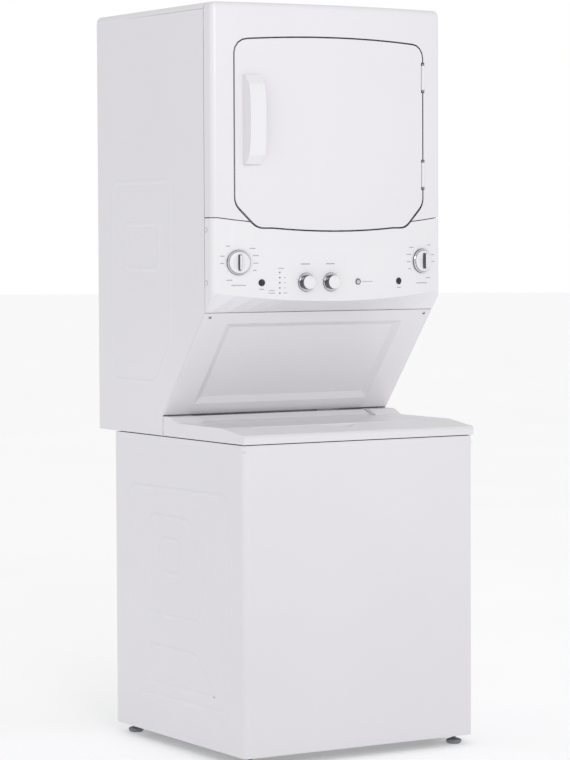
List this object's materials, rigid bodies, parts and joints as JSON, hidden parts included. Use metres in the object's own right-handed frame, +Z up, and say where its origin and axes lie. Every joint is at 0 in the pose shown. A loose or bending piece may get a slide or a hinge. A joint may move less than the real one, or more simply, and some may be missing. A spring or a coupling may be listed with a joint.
{
  "type": "washer dryer stack",
  "caption": "Stacked laundry unit: a front-door tumble dryer with a sloped console above a top-load washer with a hinged lid.",
  "frame": {"origin": "on the floor, at the middle of the overall footprint", "axes": "+Z up, +Y to the back, +X to the right seen from the front"},
  "size_m": [0.683, 0.784, 1.896],
  "materials": {
    "white_enamel": "gloss",
    "white_plastic": "satin",
    "galvanised": "satin",
    "tub_plastic": "matte",
    "stainless": "satin",
    "grey_plastic": "matte",
    "black_plastic": "satin",
    "rubber": "matte",
    "cast_aluminium": "matte",
    "steel": "satin",
    "drum_enamel": "satin"
  },
  "bodies": {
    "frame": {"washer_cabinet": "white_enamel", "washer_back_panel": "galvanised", "base_frame": "galvanised", "washer_top_cover": "white_enamel", "outer_tub": "tub_plastic", "tub_cover": "tub_plastic", "gearcase": "cast_aluminium", "washer_motor": "steel", "washer_belt": "rubber", "drain_pump": "grey_plastic", "suspension_rod_front_left": "steel", "suspension_rod_front_right": "steel", "suspension_rod_back_left": "steel", "suspension_rod_back_right": "steel", "water_valve": "white_plastic", "dryer_side_left": "white_enamel", "dryer_side_right": "white_enamel", "dryer_top_panel": "white_enamel", "dryer_back_panel": "galvanised", "terminal_cover": "galvanised", "dryer_floor_pan": "galvanised", "slanted_panel": "white_enamel", "dryer_front_panel": "white_enamel", "console": "white_plastic", "door_hinge_upper": "white_enamel", "door_hinge_lower": "white_enamel", "front_bulkhead": "galvanised", "rear_bulkhead": "galvanised", "heater_housing": "galvanised", "drum_belt": "rubber", "dryer_motor": "steel", "blower_housing": "galvanised", "exhaust_duct": "galvanised"},
    "dryer_door": {"door_outer": "white_enamel", "door_inner": "white_enamel", "door_handle": "white_plastic", "door_hinge_pin_upper": "black_plastic", "door_hinge_pin_lower": "black_plastic"},
    "washer_lid": {"washer_lid": "white_enamel"},
    "lint_filter": {"lint_filter": "grey_plastic"},
    "dryer_cycle_dial": {"dryer_cycle_dial": "white_plastic"},
    "washer_cycle_dial": {"washer_cycle_dial": "white_plastic"},
    "wash_temperature_knob": {"wash_temperature_knob": "white_plastic"},
    "load_size_knob": {"load_size_knob": "white_plastic"},
    "dryer_start_button": {"dryer_start_button": "black_plastic"},
    "washer_start_button": {"washer_start_button": "black_plastic"},
    "basket": {"wash_basket": "stainless", "balance_ring": "grey_plastic"},
    "agitator": {"agitator": "white_plastic"},
    "drive_pulley": {"drive_pulley": "cast_aluminium"},
    "washer_motor_pulley": {"washer_motor_pulley": "steel"},
    "drum": {"dryer_drum": "drum_enamel"},
    "dryer_motor_shaft": {"motor_shaft": "steel", "blower_wheel": "black_plastic"},
    "idler_arm": {"idler_arm": "galvanised"},
    "idler_roller": {"idler_roller": "black_plastic"},
    "leveling_foot_front_left": {"leveling_foot_front_left": "grey_plastic"},
    "leveling_foot_back_left": {"leveling_foot_back_left": "grey_plastic"},
    "leveling_foot_front_right": {"leveling_foot_front_right": "grey_plastic"},
    "leveling_foot_back_right": {"leveling_foot_back_right": "grey_plastic"}
  },
  "joints": [
    {"name": "dryer_door_hinge", "type": "hinge", "parent": "frame", "child": "dryer_door", "pos_m": [0.282, -0.24976, 1.327], "axis": [0, 0, 1], "range_deg": [0, 110]},
    {"name": "washer_lid_hinge", "type": "hinge", "parent": "frame", "child": "washer_lid", "pos_m": [0, 0.006, 0.84], "axis": [-1, 0, 0], "range_deg": [0, 50]},
    {"name": "lint_filter_slide", "type": "slide", "parent": "frame", "child": "lint_filter", "axis": [0, 0, 1], "range_m": [0, 0.15]},
    {"name": "dryer_cycle_dial_turn", "type": "hinge", "parent": "frame", "child": "dryer_cycle_dial", "pos_m": [-0.274, -0.25457, 1.2475], "axis": [-0.1993, -0.9799, 0], "continuous": true},
    {"name": "washer_cycle_dial_turn", "type": "hinge", "parent": "frame", "child": "washer_cycle_dial", "pos_m": [0.274, -0.25457, 1.2475], "axis": [0.1993, -0.9799, 0], "continuous": true},
    {"name": "wash_temperature_knob_turn", "type": "hinge", "parent": "frame", "child": "wash_temperature_knob", "pos_m": [-0.09, -0.27669, 1.1965], "axis": [-0.0521, -0.9986, 0], "range_deg": [-60, 60]},
    {"name": "load_size_knob_turn", "type": "hinge", "parent": "frame", "child": "load_size_knob", "pos_m": [-0.018, -0.27891, 1.1965], "axis": [-0.0101, -0.9999, 0], "range_deg": [-75, 75]},
    {"name": "dryer_start_button_press", "type": "slide", "parent": "frame", "child": "dryer_start_button", "axis": [0.1432, 0.9897, 0], "range_m": [0, 0.0025], "stiffness_N_per_m": 400, "springref_m": -0.0005},
    {"name": "washer_start_button_press", "type": "slide", "parent": "frame", "child": "washer_start_button", "axis": [-0.1269, 0.9919, 0], "range_m": [0, 0.0025], "stiffness_N_per_m": 400, "springref_m": -0.0005},
    {"name": "basket_spin", "type": "hinge", "parent": "frame", "child": "basket", "pos_m": [0, -0.0535, 0.29], "axis": [0, 0, 1], "continuous": true},
    {"name": "agitator_turn", "type": "hinge", "parent": "frame", "child": "agitator", "pos_m": [0, -0.0535, 0.29], "axis": [0, 0, 1], "continuous": true},
    {"name": "drive_pulley_turn", "type": "hinge", "parent": "frame", "child": "drive_pulley", "pos_m": [0, -0.0535, 0.1454], "axis": [0, 0, 1], "continuous": true},
    {"name": "washer_motor_turn", "type": "hinge", "parent": "frame", "child": "washer_motor_pulley", "pos_m": [0, 0.1265, 0.1454], "axis": [0, 0, 1], "continuous": true},
    {"name": "drum_spin", "type": "hinge", "parent": "frame", "child": "drum", "pos_m": [0, 0, 1.5545], "axis": [0, 1, 0], "continuous": true},
    {"name": "dryer_motor_turn", "type": "hinge", "parent": "frame", "child": "dryer_motor_shaft", "pos_m": [0.2397, 0, 1.22397], "axis": [0, 1, 0], "continuous": true},
    {"name": "idler_arm_swing", "type": "hinge", "parent": "frame", "child": "idler_arm", "pos_m": [0.2047, 0.0772, 1.18897], "axis": [0, 1, 0], "range_deg": [0, 3], "stiffness_Nm_per_rad": 6, "springref_deg": -5.73},
    {"name": "idler_roller_turn", "type": "hinge", "parent": "idler_arm", "child": "idler_roller", "pos_m": [0.13544, 0.0772, 1.24403], "axis": [0, 1, 0], "continuous": true},
    {"name": "leveling_foot_front_left_turn", "type": "hinge", "parent": "frame", "child": "leveling_foot_front_left", "pos_m": [-0.3055, -0.353, 0], "axis": [0, 0, 1], "continuous": true},
    {"name": "leveling_foot_back_left_turn", "type": "hinge", "parent": "frame", "child": "leveling_foot_back_left", "pos_m": [-0.3055, 0.246, 0], "axis": [0, 0, 1], "continuous": true},
    {"name": "leveling_foot_front_right_turn", "type": "hinge", "parent": "frame", "child": "leveling_foot_front_right", "pos_m": [0.3055, -0.353, 0], "axis": [0, 0, 1], "continuous": true},
    {"name": "leveling_foot_back_right_turn", "type": "hinge", "parent": "frame", "child": "leveling_foot_back_right", "pos_m": [0.3055, 0.246, 0], "axis": [0, 0, 1], "continuous": true}
  ],
  "couplings": [
    {"joint": "drive_pulley_turn", "follows": "basket_spin", "ratio": 1},
    {"joint": "washer_motor_turn", "follows": "basket_spin", "ratio": 3.8636},
    {"joint": "dryer_motor_turn", "follows": "drum_spin", "ratio": 25.858},
    {"joint": "idler_roller_turn", "follows": "drum_spin", "ratio": 14.104}
  ]
}
